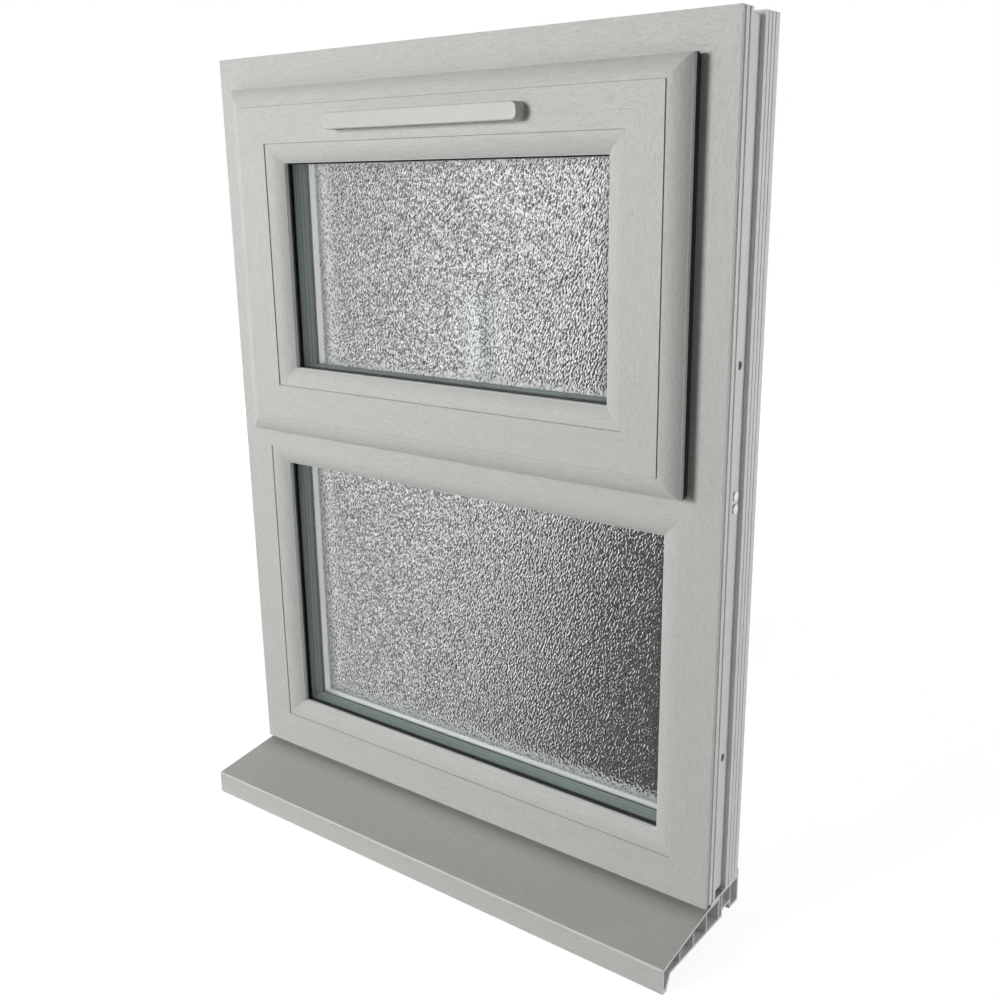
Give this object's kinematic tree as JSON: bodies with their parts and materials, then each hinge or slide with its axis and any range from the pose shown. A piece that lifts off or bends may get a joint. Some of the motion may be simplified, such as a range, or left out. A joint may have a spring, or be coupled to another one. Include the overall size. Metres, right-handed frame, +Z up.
{
  "type": "top-hung window",
  "caption": "Hollow plastic window frame on a projecting cill: top-hung opening light with trickle vent and locking handle over a fixed light, both with obscure sealed units.",
  "frame": {"origin": "middle of the cill's flat seat, in the plane of the frame's outside face", "axes": "+X to the right as seen from outside, +Y from outside to inside, +Z up"},
  "size_m": [0.627, 0.1555, 0.8636],
  "materials": {
    "foiled_profile": "woodgrain embossed foil",
    "foiled_cill": "woodgrain embossed foil",
    "canopy_plastic": "smooth moulded",
    "clear_glass": "clear float",
    "obscure_glass": "rolled stipple pattern",
    "black_rubber": "matt",
    "edge_sealant": "matt",
    "spacer_metal": "satin",
    "packer_plastic": "moulded",
    "zinc_plated_steel": "zinc plated",
    "stay_steel": "brushed stainless",
    "cast_zinc": "as cast",
    "shoe_plastic": "moulded",
    "white_handle": "powder coated",
    "button_metal": "polished",
    "white_vent": "moulded"
  },
  "bodies": {
    "frame": {"outer_frame": "foiled_profile", "frame_reinforcement": "zinc_plated_steel", "transom": "foiled_profile", "transom_reinforcement": "zinc_plated_steel", "transom_cleats": "cast_zinc", "transom_screws": "zinc_plated_steel", "cill": "foiled_cill", "cill_screws": "zinc_plated_steel", "frame_weatherseal": "black_rubber", "fixed_outer_pane": "clear_glass", "fixed_inner_pane": "obscure_glass", "fixed_edge_seal": "edge_sealant", "fixed_spacer": "spacer_metal", "fixed_bead_bottom": "foiled_profile", "fixed_bead_right": "foiled_profile", "fixed_bead_top": "foiled_profile", "fixed_bead_left": "foiled_profile", "fixed_bead_gasket": "black_rubber", "fixed_glazing_gasket": "black_rubber", "fixed_packers": "packer_plastic", "stay_track_left": "stay_steel", "stay_track_right": "stay_steel", "keeps": "zinc_plated_steel", "frame_hardware_screws": "zinc_plated_steel"},
    "arm_left": {"stay_arm_left": "stay_steel"},
    "arm_right": {"stay_arm_right": "stay_steel"},
    "sash": {"sash_frame": "foiled_profile", "sash_reinforcement": "zinc_plated_steel", "sash_weatherseal": "black_rubber", "sash_outer_pane": "clear_glass", "sash_inner_pane": "obscure_glass", "sash_edge_seal": "edge_sealant", "sash_spacer": "spacer_metal", "sash_bead_bottom": "foiled_profile", "sash_bead_right": "foiled_profile", "sash_bead_top": "foiled_profile", "sash_bead_left": "foiled_profile", "sash_bead_gasket": "black_rubber", "sash_glazing_gasket": "black_rubber", "sash_packers": "packer_plastic", "stay_plate_left": "stay_steel", "stay_plate_right": "stay_steel", "sash_hardware_screws": "zinc_plated_steel", "espag_faceplate": "zinc_plated_steel", "espag_gearbox": "cast_zinc", "handle_base": "white_handle", "handle_screws": "zinc_plated_steel", "vent_canopy": "canopy_plastic", "vent_body": "white_vent", "vent_screws": "zinc_plated_steel"},
    "shoe_left": {"stay_shoe_left": "shoe_plastic"},
    "shoe_right": {"stay_shoe_right": "shoe_plastic"},
    "handle": {"handle_lever": "white_handle", "handle_spindle": "zinc_plated_steel", "drive_gear": "zinc_plated_steel"},
    "button": {"handle_button": "button_metal"},
    "drive": {"drive_rail": "zinc_plated_steel", "locking_cams": "zinc_plated_steel"},
    "shutter": {"vent_shutter": "white_vent"}
  },
  "joints": [
    {"name": "sash_opening", "type": "hinge", "parent": "frame", "child": "arm_left", "pos_m": [-0.2639, 0.00595, 0.68013], "axis": [1, 0, 0], "range_deg": [0, 40], "deforming": ["sash_weatherseal"]},
    {"name": "sash_on_arm", "type": "hinge", "parent": "arm_left", "child": "sash", "pos_m": [-0.2609, 0.00307, 0.74606], "axis": [-1, 0, 0], "range_deg": [0, 80]},
    {"name": "arm_right_pivot", "type": "hinge", "parent": "frame", "child": "arm_right", "pos_m": [0.2639, 0.00595, 0.68013], "axis": [1, 0, 0], "range_deg": [0, 40]},
    {"name": "shoe_left_pivot", "type": "hinge", "parent": "sash", "child": "shoe_left", "pos_m": [-0.2609, 0.0395, 0.8011], "axis": [1, 0, 0], "range_deg": [0, 40]},
    {"name": "shoe_right_pivot", "type": "hinge", "parent": "sash", "child": "shoe_right", "pos_m": [0.2609, 0.0395, 0.8011], "axis": [1, 0, 0], "range_deg": [0, 40]},
    {"name": "handle_turn", "type": "hinge", "parent": "sash", "child": "handle", "pos_m": [0, 0.05, 0.48785], "axis": [0, 1, 0], "range_deg": [0, 90]},
    {"name": "drive_rail_slide", "type": "slide", "parent": "sash", "child": "drive", "axis": [-1, 0, 0], "range_m": [0, 0.01885]},
    {"name": "button_press", "type": "slide", "parent": "handle", "child": "button", "axis": [0, -1, 0], "range_m": [0, 0.002], "stiffness_N_per_m": 1500, "springref_m": -0.001},
    {"name": "shutter_slide", "type": "slide", "parent": "sash", "child": "shutter", "axis": [1, 0, 0], "range_m": [0, 0.012]}
  ],
  "couplings": [
    {"joint": "sash_on_arm", "follows": "sash_opening", "ratio": 2},
    {"joint": "arm_right_pivot", "follows": "sash_opening", "ratio": 1},
    {"joint": "shoe_left_pivot", "follows": "sash_opening", "ratio": 1},
    {"joint": "shoe_right_pivot", "follows": "sash_opening", "ratio": 1},
    {"joint": "drive_rail_slide", "follows": "handle_turn", "m_per_rad": 0.012}
  ]
}
